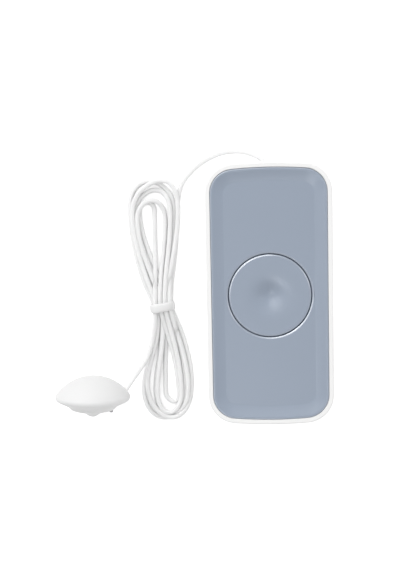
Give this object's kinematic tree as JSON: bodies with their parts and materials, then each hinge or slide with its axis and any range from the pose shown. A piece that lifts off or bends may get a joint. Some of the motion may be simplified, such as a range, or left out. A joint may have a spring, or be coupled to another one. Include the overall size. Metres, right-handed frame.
{
  "type": "flood sensor",
  "caption": "Flat wireless flood sensor with a dished front panel, a large round press button, and a lens-shaped floor probe on a hanked cord.",
  "frame": {"origin": "middle of the case's flat back face, in the plane that it lies on", "axes": "+Z out of the front face, +Y along the case towards the end that the cord leaves, +X to the right seen from the front"},
  "size_m": [0.1128, 0.1133, 0.0304],
  "materials": {
    "white_case": "fine satin moulding",
    "face_grey": "satin blue-grey moulding",
    "button_grey": "satin blue-grey moulding",
    "probe_white": "satin moulding",
    "cord_white": "soft cord jacket",
    "soft_white": "matte soft band and bushing",
    "seal_grey": "matte seal",
    "steel": "plated steel",
    "pin_metal": "plated contact pin",
    "board_green": "solder-masked board",
    "chip_black": "moulded chip",
    "can_metal": "pressed shield can",
    "inner_white": "nylon connector",
    "inner_black": "moulded holder",
    "cell_wrap": "plain wrapped cell",
    "lamp": "clear lamp lens",
    "core_red": "core insulation"
  },
  "bodies": {
    "case": {"housing": "white_case", "back_cover": "white_case", "back_gasket": "seal_grey", "cover_screws": "steel", "front_panel": "face_grey", "tact_switch": "chip_black", "circuit_board": "board_green", "board_screws": "steel", "controller_chip": "chip_black", "radio_module": "can_metal", "antenna": "steel", "status_led": "lamp", "connector_header": "inner_white", "connector_plug": "inner_white", "cord_cores": "core_red", "cord_grommet": "soft_white", "battery_holder": "inner_black", "battery_left": "cell_wrap", "battery_right": "cell_wrap", "positive_contact": "steel", "negative_contact": "steel", "link_contact": "steel", "cord_lead": "cord_white", "cord_hank": "cord_white", "cord_tail": "cord_white", "hank_tie": "soft_white", "probe_dome": "probe_white", "probe_base": "probe_white", "probe_gasket": "seal_grey", "probe_board": "board_green", "contact_pins": "pin_metal"},
    "button": {"button": "button_grey", "switch_plunger": "inner_black"}
  },
  "joints": [
    {"name": "button_press", "type": "slide", "parent": "case", "child": "button", "axis": [0, 0, -1], "range_m": [0, 0.0005], "stiffness_N_per_m": 2400, "springref_m": -0.0002}
  ]
}
